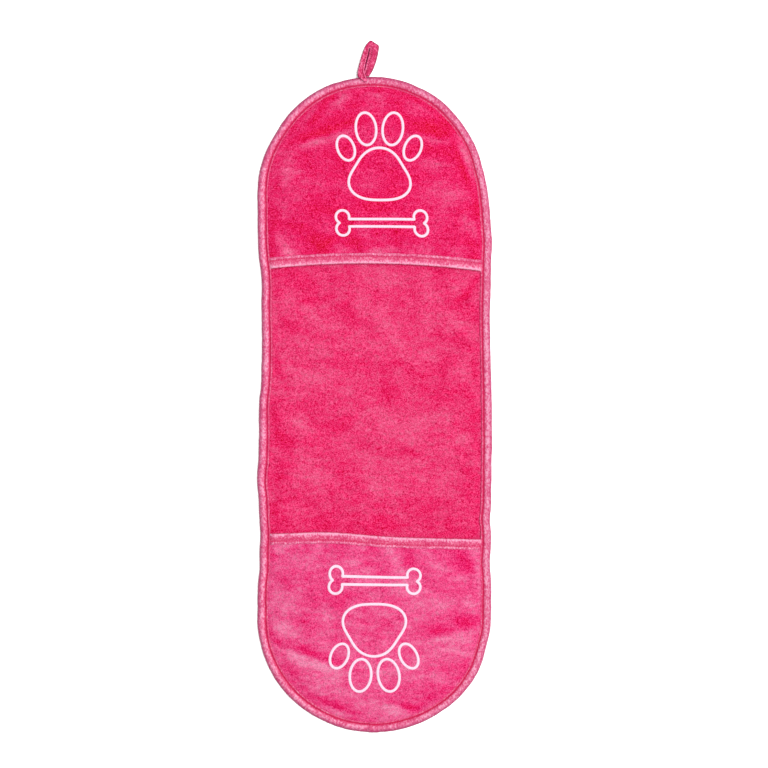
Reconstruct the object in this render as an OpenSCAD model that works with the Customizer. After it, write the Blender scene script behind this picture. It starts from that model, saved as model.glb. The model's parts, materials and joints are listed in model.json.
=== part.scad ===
// Double-ended pocket towel for drying paws: one long plush panel with rounded ends and a hand
// pocket sewn on at each end. A bias binding runs round the whole edge and along both pocket
// mouths, and a tape loop hangs the towel up.
//
// Frame, in millimetres: the towel lies face up. X runs across it, Y along it towards the end
// with the loop, Z up. The origin is the middle of its underside, on the fold line.
// The lower end is the upper end turned half way round, so every module below builds the upper end.

/* [Towel] */
// Length over the edge binding, without the loop
towel_l = 786; // [760:1:820]
// Width over the edge binding
towel_w = 278; // [260:1:290]
// Thickness of the plush back panel
cloth_t = 3.8; // [3.4:0.1:4.4]

/* [Pockets] */
// Depth of the upper pocket, from its mouth to the end of the towel
upper_depth = 225; // [222:1:240]
// Depth of the lower pocket, from its mouth to the end of the towel
lower_depth = 234; // [230:1:240]
// Rise of a pocket front from its sewn rim to its crown
pocket_rise = 6.5; // [6.5:0.5:12]
// Thickness of a pocket front at its crown
front_t = 3; // [2.4:0.1:3.6]
// Thickness of a pocket front where it is pinched at its rim
front_edge_t = 1.2; // [1:0.1:1.6]

/* [Binding] */
// Width of the finished binding
binding_w = 13; // [12:0.5:14]
// Thickness of one ply of binding tape
tape_t = 0.8; // [0.6:0.1:1]
// Distance of the binding's stitch line from the binding's outer edge
stitch_in = 8.5; // [8:0.1:9]

/* [Hanging loop] */
// Length of the loop beyond its root
loop_l = 42; // [38:1:46]
// Width across both legs of the loop at its widest
loop_w = 22; // [20:1:24]
// Width of the gap between the legs at its widest
loop_gap = 7; // [6.5:0.5:8]
// Thickness of the loop's folded tape
loop_t = 1.8; // [1.4:0.1:2.2]
// Offset of the loop to the left of the towel's middle
loop_x = 12; // [0:1:20]
// Lean of the loop to the right, in degrees
loop_lean = 12; // [0:1:16]

/* [Embroidery] */
// Width of an embroidered line
line_w = 3.2; // [2:0.1:4]
// Height of the embroidery above the cloth
thread_t = 0.7; // [0.4:0.1:1]
// Distance of the upper paw's middle from the end of the towel
upper_paw_in = 101; // [96:1:106]
// Distance of the lower paw's middle from the end of the towel
lower_paw_in = 107; // [102:1:110]
// Distance from a paw's middle to the middle of its bone
bone_drop = 75; // [72:1:80]
// Length of the bone
bone_l = 112; // [90:1:120]

/* [Hidden] */

$fn = 96;
fine_fn = 256; // for the wide, shallow arcs of the pocket fronts

plush = "#ed3f74";
tape = "#eb7096";
pale_thread = "#f7a6bd";
white_thread = "#fbf3f7";

end_r = towel_w / 2;                      // radius of a rounded end
end_y = towel_l / 2;                      // the tip of a rounded end
arc_y = end_y - end_r;                    // centre of a rounded end
fold_half_gap = 0.1;                      // each half starts this far from the fold line

inner_r = end_r - binding_w;              // inner edge of the binding
slot_r = end_r - 1.5 * tape_t;            // how far the cloth reaches into the binding
binding_top = cloth_t + tape_t;
rim_t = front_edge_t;                     // the pocket cloth, pinched inside the binding

body_gap = 0.4;                           // clearance between parts that move apart
front_r = inner_r - body_gap;             // outer edge of a pocket front's moving part
front_z = cloth_t + tape_t + body_gap;    // underside of a pocket front at its rim
mouth_lip = tape_t;                       // the mouth binding's ply round the cloth's raw edge

// The underside and the top of a pocket front are two shallow domes.
under_r = dome_radius(front_r, pocket_rise);
over_rise = pocket_rise + front_t - front_edge_t;
over_r = dome_radius(front_r, over_rise);
under_crown = front_z + pocket_rise;
over_crown = under_crown + front_t;

upper_motif_x = 9;                        // the upper embroidery sits right of the middle
lower_motif_x = 0;
pad_drop = 25;                            // the pad's middle below the paw's middle
pad_size = 33;                            // mean radius of the pad
pad_points = 48;
// Each toe of a paw: [offset across, offset up, half width, half height, turn outwards]
toes = [[16.5, 32, 12.5, 19.5, 7], [41, 9, 10, 15.5, 25]];
toe_points = 28;
bone_lobe_r = 9.5;
bone_lobe_y = 7;
bone_bar_h = 12;

root_w = 12;                              // width of the loop where its two ends are gathered
root_r = 1.9;                             // radius of the loop's rolled root, its hinge
root_y = end_y + 3.6;
root_z = binding_top + loop_t / 2;
tail_l = 9;                               // how far the sewn ends reach over the binding
loop_floor = 0.4;                         // the loop's tip above the surface
loop_slope = asin((root_z - loop_t / 2 - loop_floor) / loop_l);
loop_mid = 24;                            // the loop's widest place, from its root
loop_leaf_l = 75;                         // length of the leaf shape that the loop is cut from
loop_gap_l = 31;
loop_gap_mid = 19;
loop_seam_l = 44;
loop_seam_mid = 17;
loop_tip_slant = 22;
loop_tip_fold = 9;                        // the tape lies double for this length at the tip
thread_w = 0.8;                           // width of a row of stitches
stitch_t = 0.4;                           // height of a row of stitches
bartack_rows = 2;
bartack_pitch = 3;
lap_w = 12;                               // how far the binding's end laps over its start
lap_t = 0.6;

function dome_radius(half_chord, rise) = (half_chord * half_chord + rise * rise) / (2 * rise);

// ---- Sweeps -------------------------------------------------------------------------------

// Sweeps a profile round the rounded end and down both sides to y0.
// The profile's x is the distance from the middle line and its y is the height.
module around_end(y0) {
    translate([0, arc_y, 0]) {
        rotate_extrude(angle = 180) children();
        for (side = [0, 1])
            mirror([side, 0, 0])
                rotate([90, 0, 0])
                    linear_extrude(height = arc_y - y0) children();
    }
}

// The plan of the upper half out to radius r, from y0 to the tip
module half_plan(r, y0) {
    translate([0, arc_y]) circle(r = r);
    translate([-r, y0]) square([2 * r, arc_y - y0]);
}

module slab(r, y0, z0, z1) {
    translate([0, 0, z0])
        linear_extrude(height = z1 - z0)
            difference() {
                half_plan(r, y0);
                translate([-towel_w, y0 - towel_w]) square([2 * towel_w, towel_w]);
            }
}

module lower_end() {
    rotate([0, 0, 180]) children();
}

// ---- Back panel and edge binding ----------------------------------------------------------

// The cloth is full thickness inside the binding and pinched where the binding holds it.
module back_panel(mouth_y) {
    color(plush) difference() {
        union() {
            slab(inner_r, fold_half_gap, 0, cloth_t);
            slab(slot_r, fold_half_gap, tape_t, cloth_t);
        }
        around_end(mouth_y)
            translate([inner_r, cloth_t - rim_t]) square([binding_w, rim_t + 1]);
    }
}

module edge_binding() {
    color(tape) around_end(fold_half_gap) difference() {
        union() {
            translate([end_r - binding_top / 2, binding_top / 2]) circle(d = binding_top, $fn = 32);
            translate([inner_r, 0]) square([binding_w - binding_top / 2, binding_top]);
        }
        translate([inner_r - 1, tape_t]) square([slot_r - inner_r + 1, cloth_t - tape_t]);
    }
}

module edge_stitching() {
    color(pale_thread) around_end(fold_half_gap)
        translate([end_r - stitch_in - thread_w / 2, binding_top]) square([thread_w, stitch_t]);
}

// The part of the pocket cloth that the binding holds
module pocket_rim(mouth_y) {
    color(plush) around_end(mouth_y)
        translate([inner_r, cloth_t - rim_t]) square([slot_r - inner_r, rim_t]);
}

// The end of the edge binding, lapped over its start
module lapped_end() {
    lap_y = end_y - stitch_in + thread_w;
    color(tape)
        translate([-lap_w / 2, lap_y, binding_top])
            cube([lap_w, end_y - binding_top / 2 - 0.3 - lap_y, lap_t]);
}

// ---- Pocket front -------------------------------------------------------------------------

// A band of a pocket front's section: from below its underside to above its top
module front_band(below, above) {
    intersection() {
        difference() {
            translate([0, over_crown - over_r]) circle(r = over_r + above, $fn = fine_fn);
            translate([0, under_crown - under_r]) circle(r = under_r - below, $fn = fine_fn);
        }
        square([front_r, 2 * over_crown]);
    }
}

// A skin that lies on the pocket front, or lifted off it, for what is sewn on
module front_skin(lift, thickness) {
    intersection() {
        difference() {
            translate([0, over_crown - over_r]) circle(r = over_r + lift + thickness, $fn = fine_fn);
            translate([0, over_crown - over_r]) circle(r = over_r + lift, $fn = fine_fn);
        }
        square([front_r, 2 * over_crown]);
    }
}

module pocket_front(mouth_y) {
    color(plush) around_end(mouth_y + mouth_lip) front_band(0, 0);
}

// Sweeps a pocket front's section along Y from y0 to y1, on both sides of the middle
module across_front(y0, y1) {
    for (side = [0, 1])
        mirror([side, 0, 0])
            translate([0, y1, 0])
                rotate([90, 0, 0])
                    linear_extrude(height = y1 - y0) children();
}

module mouth_binding(mouth_y) {
    color(tape) difference() {
        across_front(mouth_y, mouth_y + binding_w) front_band(tape_t, tape_t);
        across_front(mouth_y + mouth_lip, mouth_y + binding_w + 1) front_band(0, 0);
    }
}

module mouth_stitching(mouth_y) {
    color(pale_thread)
        across_front(mouth_y + stitch_in - thread_w / 2, mouth_y + stitch_in + thread_w / 2)
            front_skin(tape_t, stitch_t);
}

// ---- Embroidery ---------------------------------------------------------------------------

// Lays a flat outline on the top of the pocket front.
module on_front(mouth_y) {
    color(white_thread) intersection() {
        around_end(mouth_y) front_skin(0, thread_t);
        translate([0, 0, front_z]) linear_extrude(height = over_crown) children();
    }
}

function pad_r(a) = pad_size * (1 + 0.1 * cos(3 * (a - 90)) - 0.03 * cos(2 * a));

module pad_outline(grow) {
    polygon([for (i = [0 : pad_points - 1])
        let (a = 360 * i / pad_points, r = pad_r(a) + grow) [1.12 * r * cos(a), 0.92 * r * sin(a)]]);
}

module toe_outline(toe, grow) {
    polygon([for (i = [0 : toe_points - 1])
        let (a = 360 * i / toe_points) [(toe[2] + grow) * cos(a), (toe[3] + grow) * sin(a)]]);
}

module bone_outline(inset) {
    for (sx = [-1, 1], sy = [-1, 1])
        translate([sx * (bone_l / 2 - bone_lobe_r), sy * bone_lobe_y])
            circle(r = bone_lobe_r - inset);
    square([bone_l - 2 * bone_lobe_r, bone_bar_h - 2 * inset], center = true);
}

module paw_pad(mouth_y, x, paw_in) {
    on_front(mouth_y)
        translate([x, end_y - paw_in - pad_drop]) difference() {
            pad_outline(line_w / 2);
            pad_outline(-line_w / 2);
        }
}

module paw_toes(mouth_y, x, paw_in) {
    for (toe = toes, side = [-1, 1])
        on_front(mouth_y)
            translate([x + side * toe[0], end_y - paw_in + toe[1]])
                rotate(-side * toe[4]) difference() {
                    toe_outline(toe, line_w / 2);
                    toe_outline(toe, -line_w / 2);
                }
}

module bone(mouth_y, x, paw_in) {
    on_front(mouth_y)
        translate([x, end_y - paw_in - bone_drop]) difference() {
            bone_outline(0);
            bone_outline(line_w);
        }
}

// ---- Hanging loop -------------------------------------------------------------------------

module leaf(w, l) {
    r = dome_radius(l / 2, w / 2);
    intersection() {
        translate([r - w / 2, 0]) circle(r = r, $fn = fine_fn);
        translate([w / 2 - r, 0]) circle(r = r, $fn = fine_fn);
    }
}

// Lays a part of the loop out from its root: leaning aside and sloping down to the surface.
module from_root() {
    translate([-loop_x, root_y, root_z])
        rotate([-loop_slope, 0, 0])
            difference() {
                rotate([0, 0, -loop_lean]) children();
                translate([-loop_l, -2 * loop_l, -loop_l]) cube(2 * loop_l);
            }
}

// The loop's outline, whose tip is folded at a slant
module loop_outline() {
    difference() {
        intersection() {
            translate([0, loop_mid]) leaf(loop_w, loop_leaf_l);
            translate([-loop_w / 4, loop_l]) rotate(-loop_tip_slant)
                translate([0, -2 * loop_l]) square(2 * loop_l);
        }
        translate([0, loop_gap_mid]) leaf(loop_gap, loop_gap_l);
    }
}

module hanging_loop() {
    color(tape) {
        from_root() {
            translate([0, 0, -loop_t / 2]) linear_extrude(height = loop_t) loop_outline();
            translate([0, 0, loop_t / 2 - 0.1]) linear_extrude(height = loop_t / 3) intersection() {
                loop_outline();
                translate([0, loop_l - loop_tip_fold / 2]) rotate(-loop_tip_slant)
                    square([2 * loop_w, loop_tip_fold], center = true);
            }
        }
        translate([-loop_x, root_y, root_z]) rotate([0, 90, 0])
            cylinder(r = root_r, h = root_w, center = true);
    }
}

// The row of stitches down the middle of each leg
module loop_stitching() {
    color(pale_thread) from_root()
        translate([0, loop_seam_mid, loop_t / 2]) linear_extrude(height = stitch_t) difference() {
            seam_w = (loop_w + loop_gap) / 2;
            leaf(seam_w + thread_w, loop_seam_l + thread_w);
            leaf(seam_w - thread_w, loop_seam_l - thread_w);
            translate([-loop_w, -loop_l - loop_seam_mid + root_r + 1]) square([2 * loop_w, loop_l]);
            translate([-loop_w, loop_l - loop_tip_fold - loop_seam_mid - 5])
                square([2 * loop_w, loop_l]);
        }
}

// The loop's two ends, laid flat on the binding
module loop_tails() {
    color(tape)
        translate([-loop_x - root_w / 2, root_y - root_r - body_gap - tail_l, binding_top])
            cube([root_w, tail_l, loop_t]);
}

module loop_bartack() {
    color(pale_thread)
        for (row = [0 : bartack_rows - 1])
            translate([-loop_x - root_w / 2 + 1, end_y - 6 + bartack_pitch * row, binding_top + loop_t])
                cube([root_w - 2, thread_w, stitch_t]);
}

// ---- Assembly -----------------------------------------------------------------------------

upper_mouth = end_y - upper_depth;
lower_mouth = end_y - lower_depth;

back_panel(upper_mouth);  // upper_back_panel
edge_binding();  // upper_edge_binding
edge_stitching();  // upper_edge_stitching
pocket_rim(upper_mouth);  // upper_pocket_rim
pocket_front(upper_mouth);  // upper_pocket_front
mouth_binding(upper_mouth);  // upper_mouth_binding
mouth_stitching(upper_mouth);  // upper_mouth_stitching
paw_pad(upper_mouth, upper_motif_x, upper_paw_in);  // upper_paw_pad
paw_toes(upper_mouth, upper_motif_x, upper_paw_in);  // upper_paw_toes
bone(upper_mouth, upper_motif_x, upper_paw_in);  // upper_bone
loop_tails();
loop_bartack();
hanging_loop();
loop_stitching();
lower_end() back_panel(lower_mouth);  // lower_back_panel
lower_end() edge_binding();  // lower_edge_binding
lower_end() edge_stitching();  // lower_edge_stitching
lower_end() pocket_rim(lower_mouth);  // lower_pocket_rim
lower_end() pocket_front(lower_mouth);  // lower_pocket_front
lower_end() mouth_binding(lower_mouth);  // lower_mouth_binding
lower_end() mouth_stitching(lower_mouth);  // lower_mouth_stitching
lower_end() paw_pad(lower_mouth, lower_motif_x, lower_paw_in);  // lower_paw_pad
lower_end() paw_toes(lower_mouth, lower_motif_x, lower_paw_in);  // lower_paw_toes
lower_end() bone(lower_mouth, lower_motif_x, lower_paw_in);  // lower_bone
lower_end() lapped_end();  // binding_join
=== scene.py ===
"""A double-ended pocket towel for drying paws, lying face up on a pale surface, seen from above.

One long plush cloth with rounded ends carries a pocket at each end. A tape binding runs round the
edge and along both pocket mouths, and a folded tape loop hangs the towel up. Lengths are in metres
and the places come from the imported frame. The lower end is the upper end turned half way round, so
a pocket and all that is on it is shaped as the upper one and turned.
"""

import json
import math

import bpy
import numpy as np
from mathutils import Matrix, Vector, noise
from mathutils.bvhtree import BVHTree
from mathutils.geometry import delaunay_2d_cdt


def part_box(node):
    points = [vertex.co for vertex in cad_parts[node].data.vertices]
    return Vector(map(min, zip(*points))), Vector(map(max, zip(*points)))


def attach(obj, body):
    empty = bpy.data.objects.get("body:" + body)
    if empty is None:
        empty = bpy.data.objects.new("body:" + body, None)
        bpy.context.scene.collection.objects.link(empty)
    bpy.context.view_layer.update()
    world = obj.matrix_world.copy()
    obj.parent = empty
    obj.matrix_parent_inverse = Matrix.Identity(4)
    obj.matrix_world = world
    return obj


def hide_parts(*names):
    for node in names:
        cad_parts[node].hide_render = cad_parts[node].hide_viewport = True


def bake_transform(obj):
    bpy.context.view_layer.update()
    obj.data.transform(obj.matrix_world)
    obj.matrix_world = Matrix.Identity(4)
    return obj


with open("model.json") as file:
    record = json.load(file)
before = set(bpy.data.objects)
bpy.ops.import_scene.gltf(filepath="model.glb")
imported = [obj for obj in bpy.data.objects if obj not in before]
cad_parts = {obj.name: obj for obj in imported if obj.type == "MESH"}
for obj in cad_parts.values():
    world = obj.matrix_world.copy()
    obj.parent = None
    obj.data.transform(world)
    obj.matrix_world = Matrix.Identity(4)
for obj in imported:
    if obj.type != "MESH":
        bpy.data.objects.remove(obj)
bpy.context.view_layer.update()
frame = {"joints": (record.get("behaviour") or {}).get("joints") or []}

MM = 0.001

# ---- Sizes from the frame ----

HALF_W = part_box("upper_edge_binding")[1][0]
END_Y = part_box("upper_edge_binding")[1][1]
ARC_Y = END_Y - HALF_W          # the rounded ends are half circles round this place along Y
CLOTH_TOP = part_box("upper_back_panel")[1][2]
POCKET_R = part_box("upper_pocket_front")[1][0]
SEAM_R = POCKET_R + 2 * MM      # the cloths are cut here, inside the binding
BINDING_W = HALF_W - POCKET_R - 0.4 * MM
HINGE = Vector(next(j["pos_m"] for j in frame["joints"] if j["name"] == "loop_swing"))

# A pocket's end is 1 at the towel's upper end and -1 at its lower end
END_NAME = {1: "upper", -1: "lower"}
MOUTH_Y = {1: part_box("upper_mouth_binding")[0][1], -1: -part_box("lower_mouth_binding")[1][1]}

# ---- Shapes chosen ----

CLOTH_PITCH = 3.6 * MM          # spacing of the points in a cloth
BACK_WRINKLE = 1.0 * MM         # its wrinkles are no higher
POCKET_WRINKLE = 1.1 * MM
RIM_T = 1.2 * MM                # a pocket's cloth is pinched at its seam
PLUSH_T = 3.0 * MM              # and this thick elsewhere
POCKET_PUFF = 6.0 * MM          # how far a pocket bulges
MOUTH_DROOP = 4.8 * MM          # its mouth sinks this far back
LIFT_REACH = 100 * MM           # a pocket lifts fully this far in from its seam
TAPE_STEP = 1.03 * MM           # spacing of the sections along a tape
STITCH_PITCH = 3.1 * MM
STITCH_L = 2.3 * MM
THREAD_R = 0.36 * MM

# The right side lies further out than drawn, and steps in towards the upper end
RIGHT_OUT = 2.2 * MM
RIGHT_STEP = 6.8 * MM
RIGHT_STEP_Y = (0.215, 0.285)
# The sides wander as the towel was laid: (place along Y, shift outwards in mm, reach)
RIGHT_WAVES = [
    (0.330, -1.4, 0.030), (0.225, -1.0, 0.020), (0.100, -1.4, 0.045), (0.195, 1.2, 0.020),
    (-0.035, 1.1, 0.060), (-0.137, -1.6, 0.012), (-0.187, -1.5, 0.014), (-0.287, -1.0, 0.015),
    (-0.330, 1.8, 0.020), (-0.355, 1.3, 0.020),
]
LEFT_WAVES = [
    (0.330, -2.6, 0.035), (0.150, -3.0, 0.030), (0.085, -5.2, 0.060), (0.030, -2.2, 0.030),
    (-0.040, -1.8, 0.035), (-0.092, 1.3, 0.014), (-0.118, -1.4, 0.020), (-0.158, -3.0, 0.026),
    (-0.195, -2.2, 0.018), (-0.345, 1.6, 0.050),
]
# Soft creases pressed into the cloth: (start, end, height in mm, half width in mm)
BACK_CREASES = [
    ((0.121, 0.150), (0.096, 0.108), -1.3, 3.2), ((0.110, 0.136), (0.088, 0.120), 0.9, 4.0),
    ((-0.070, 0.113), (-0.026, 0.129), 0.9, 3.0), ((-0.110, 0.070), (-0.060, 0.095), 0.7, 4.0),
    ((0.020, -0.040), (0.070, -0.066), 0.5, 5.0), ((-0.120, -0.120), (-0.080, -0.095), 0.7, 4.0),
]
POCKET_CREASES = {
    1: [((-0.090, 0.312), (-0.030, 0.331), -1.2, 4.0), ((0.048, 0.325), (0.092, 0.320), -1.0, 4.5),
        ((0.102, 0.316), (0.122, 0.262), 0.8, 3.5), ((-0.036, 0.200), (-0.075, 0.180), -0.7, 4.5),
        ((-0.080, 0.336), (-0.062, 0.360), 0.7, 3.2), ((-0.050, 0.350), (-0.030, 0.372), 0.7, 3.0)],
    -1: [((-0.060, 0.279), (-0.120, 0.268), -0.9, 4.0), ((0.118, 0.287), (0.040, 0.314), -0.8, 4.0),
         ((0.085, 0.351), (0.020, 0.374), -0.7, 3.5), ((-0.018, 0.358), (-0.050, 0.368), -0.7, 3.5)],
}
# Wrinkles facing this way, towards the light, are painted paler and the others darker
LIGHT_SIDE = Vector((0.75, 0.66, 0))
# Streaks painted paler or, below 0, darker, partly brushed nap and partly the painted light and
# shade of creases beside them: (start, end, amount in hundredths, half width in mm)
NAP_AND_CREASE_SHADE = [
    # upper pocket
    ((-0.092, 0.316), (-0.030, 0.337), -24, 6), ((-0.088, 0.307), (-0.030, 0.323), 26, 5),
    ((0.050, 0.334), (0.092, 0.329), -19, 9), ((0.045, 0.318), (0.092, 0.312), 22, 5),
    ((0.062, 0.288), (0.090, 0.286), 22, 6), ((0.065, 0.252), (0.110, 0.250), 21, 14),
    ((-0.084, 0.336), (-0.068, 0.358), 22, 3.5), ((-0.076, 0.333), (-0.058, 0.360), -18, 3.5),
    ((-0.052, 0.350), (-0.030, 0.376), 25, 6), ((-0.058, 0.373), (-0.042, 0.366), -22, 6),
    ((0.035, 0.352), (0.060, 0.350), 14, 7), ((0.000, 0.371), (0.014, 0.366), 17, 6),
    ((0.104, 0.318), (0.122, 0.272), 24, 4), ((0.098, 0.308), (0.116, 0.262), -12, 4),
    ((0.122, 0.262), (0.127, 0.205), -18, 4), ((-0.035, 0.206), (-0.072, 0.184), -24, 8),
    ((-0.106, 0.300), (-0.106, 0.245), 14, 9), ((-0.080, 0.232), (0.010, 0.228), -11, 9),
    ((0.060, 0.215), (0.110, 0.205), 14, 14), ((-0.118, 0.235), (-0.115, 0.200), -11, 9),
    ((-0.030, 0.184), (0.115, 0.186), 15, 6), ((0.118, 0.190), (0.124, 0.225), 13, 6),
    # middle
    ((-0.100, -0.142), (0.110, -0.150), -11, 14), ((-0.112, 0.060), (-0.112, -0.150), -8, 12),
    ((-0.115, 0.158), (-0.065, 0.140), -10, 12), ((-0.090, 0.124), (-0.062, 0.128), -12, 6),
    ((-0.075, 0.112), (-0.045, 0.121), 9, 4), ((0.122, 0.050), (0.122, -0.100), -8, 6),
    ((0.124, 0.149), (0.100, 0.120), -22, 4), ((0.035, 0.108), (0.075, 0.096), 8, 10),
    ((0.068, 0.062), (0.078, 0.050), 7, 8), ((-0.088, 0.010), (-0.086, -0.065), 6, 9),
    ((0.000, -0.085), (0.022, -0.095), 6, 14), ((0.083, -0.086), (0.097, -0.078), 7, 9),
    ((0.088, -0.012), (0.097, -0.035), 8, 4), ((-0.020, 0.034), (-0.012, 0.042), 8, 6),
    ((0.000, 0.150), (0.032, 0.150), 7, 7), ((0.005, 0.018), (0.030, 0.010), -8, 9),
    ((-0.052, -0.098), (-0.048, -0.118), -10, 5), ((-0.041, -0.072), (-0.038, -0.090), -8, 6),
    ((0.060, -0.125), (0.120, -0.108), -8, 5), ((-0.106, 0.098), (-0.096, 0.080), -8, 9),
    # lower pocket
    ((0.058, -0.274), (0.120, -0.256), -20, 7), ((0.080, -0.284), (0.116, -0.280), 13, 6),
    ((0.070, -0.246), (0.108, -0.232), 12, 10), ((-0.118, -0.278), (-0.036, -0.312), -15, 6),
    ((-0.115, -0.300), (-0.050, -0.318), 12, 6), ((-0.120, -0.261), (-0.092, -0.271), 14, 6),
    ((-0.085, -0.346), (-0.015, -0.371), -13, 7), ((0.012, -0.350), (0.052, -0.363), -13, 6),
    ((0.052, -0.361), (0.100, -0.330), -12, 6), ((0.018, -0.367), (0.042, -0.376), 14, 4),
    ((-0.118, -0.180), (-0.108, -0.192), -10, 6), ((-0.122, -0.216), (-0.118, -0.230), -8, 5),
    ((0.085, -0.208), (0.112, -0.196), -9, 6), ((0.058, -0.320), (0.110, -0.310), -6, 6),
    ((-0.110, -0.196), (-0.060, -0.200), -7, 7), ((-0.100, -0.179), (-0.020, -0.180), 5, 8),
    ((-0.112, -0.300), (-0.086, -0.342), -11, 6), ((0.120, -0.290), (0.102, -0.328), -13, 7),
]


# ---- Small helpers ----

def smoothstep(low, high, x):
    t = np.clip((x - low) / (high - low), 0, 1)
    return t * t * (3 - 2 * t)


def bump(x, middle, reach):
    return np.exp(-(((x - middle) / reach) ** 2))


def noise_at(points, size, seed):
    """Smooth noise, about -1 to 1, with features about size across."""
    return np.array([noise.noise(Vector((p[0] / size, p[1] / size, seed))) for p in points])


def noise_along(s, size, seed):
    """Smooth noise at distances along a line."""
    return noise_at([(value, 0) for value in s], size, seed)


def make_object(name, points, faces, smooth=True):
    mesh = bpy.data.meshes.new(name)
    mesh.from_pydata([tuple(map(float, p)) for p in points], [], faces)
    mesh.polygons.foreach_set("use_smooth", [smooth] * len(mesh.polygons))
    mesh.update()
    obj = bpy.data.objects.new(name, mesh)
    bpy.context.scene.collection.objects.link(obj)
    return obj


def mark(obj, name, values):
    """Stores a value at each point of a piece, for its material to read."""
    stored = obj.data.attributes.new(name, "FLOAT", "POINT")
    stored.data.foreach_set("value", np.asarray(values, np.float32))


def edge_distance(x, y):
    """How far inside the towel's edge a point of the plan lies."""
    return HALF_W - np.hypot(x, np.maximum(np.abs(y) - ARC_Y, 0))


def wave_sum(y, waves):
    return sum(height * MM * bump(y, place, reach) for place, height, reach in waves)


def laid(points):
    """Moves points sideways to where the towel's wandering sides take them."""
    x, y = points[:, 0], points[:, 1]
    right = RIGHT_OUT - RIGHT_STEP * smoothstep(*RIGHT_STEP_Y, y) + wave_sum(y, RIGHT_WAVES)
    left = wave_sum(y, LEFT_WAVES)
    share = (1 + x / HALF_W) / 2
    moved = points.copy()
    moved[:, 0] += right * share - left * (1 - share)
    return moved


def mouth_shift(x, end):
    """How far the mouth's edge is drawn back towards the closed end of its pocket."""
    u = x / (HALF_W - BINDING_W)
    if end > 0:
        return (0.5 - 1.5 * u - 7.3 * u * u) * MM
    return (-0.7 - 2.9 * u - 4.2 * bump(u, 0.45, 0.42)) * MM


def pocket_laid(points, end):
    """Bends a pocket's mouth, turns the pocket to its end of the towel and lays it."""
    moved = points.copy()
    fade = 1 - smoothstep(0, 0.075, points[:, 1] - MOUTH_Y[end])
    moved[:, 1] += mouth_shift(points[:, 0], end) * fade
    moved[:, :2] *= end
    return laid(moved)


# ---- Cloth ----

def outline(y0):
    """A cloth's cut edge, as a closed run of points: the upper end from y0, or all with y0 None."""
    arc_n = round(math.pi * SEAM_R / CLOTH_PITCH)
    angles = [math.pi * i / arc_n for i in range(arc_n + 1)]
    arc = [(SEAM_R * math.cos(a), ARC_Y + SEAM_R * math.sin(a)) for a in angles]
    low = -ARC_Y if y0 is None else y0
    side_n = round((ARC_Y - low) / CLOTH_PITCH)
    side = [low + (ARC_Y - low) * i / side_n for i in range(1, side_n)]
    run = [(SEAM_R, y) for y in side] + arc + [(-SEAM_R, y) for y in reversed(side)]
    if y0 is None:
        return run + [(-x, -y) for x, y in arc]
    across_n = round(2 * SEAM_R / CLOTH_PITCH)
    return run + [(-SEAM_R + 2 * SEAM_R * i / across_n, y0) for i in range(across_n + 1)]


def net(run):
    """An even net of triangles inside a closed run of points: plan points and faces."""
    ring = np.array(run)
    row_h = CLOTH_PITCH * math.sqrt(3) / 2
    low, high = ring.min(axis=0), ring.max(axis=0)
    rows = np.arange(low[1] + row_h, high[1] - 0.5 * row_h, row_h)
    inside = []
    for k, y in enumerate(rows):
        past_arc = max(abs(y) - ARC_Y, 0)
        half = math.sqrt(max(SEAM_R ** 2 - past_arc ** 2, 0))
        xs = np.arange(low[0] + CLOTH_PITCH * (0.5 if k % 2 else 0), high[0], CLOTH_PITCH)
        inside += [(x, y) for x in xs if abs(x) < half - 0.6 * CLOTH_PITCH]
    points = [Vector(p) for p in run + inside]
    edges = [(i, (i + 1) % len(run)) for i in range(len(run))]
    plan, _, faces, *_ = delaunay_2d_cdt(points, edges, [], 1, 1e-7)
    return np.array([tuple(p) for p in plan]), [tuple(f) for f in faces]


def streaks(plan, lines):
    """Soft-ended streaks along short straight lines: (start, end, strength, half width)."""
    total = np.zeros(len(plan))
    for start, end, strength, half_w in lines:
        a = np.array(start)
        along = np.array(end) - a
        length = np.hypot(*along)
        along /= length
        offset = plan - a
        t = offset @ along
        off = offset @ np.array([-along[1], along[0]])
        ends = bump(t, length / 2, length * 0.6)
        total += strength * bump(off, 0, half_w * MM) * ends
    return total


def smoothed(values, faces, rounds):
    """Averages values with their neighbours over a net of triangles, again and again."""
    links = np.array([(face[i], face[i - 1]) for face in faces for i in range(3)])
    counts = np.bincount(links.ravel(), minlength=len(values))[:, None]
    for _ in range(rounds):
        total = np.zeros_like(values)
        np.add.at(total, links[:, 0], values[links[:, 1]])
        np.add.at(total, links[:, 1], values[links[:, 0]])
        values = 0.5 * values + 0.5 * total / counts
    return values


SETTLE_SCALE = 10               # a larger cloth settles more steadily
SETTLE_FRAMES = 24


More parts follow.
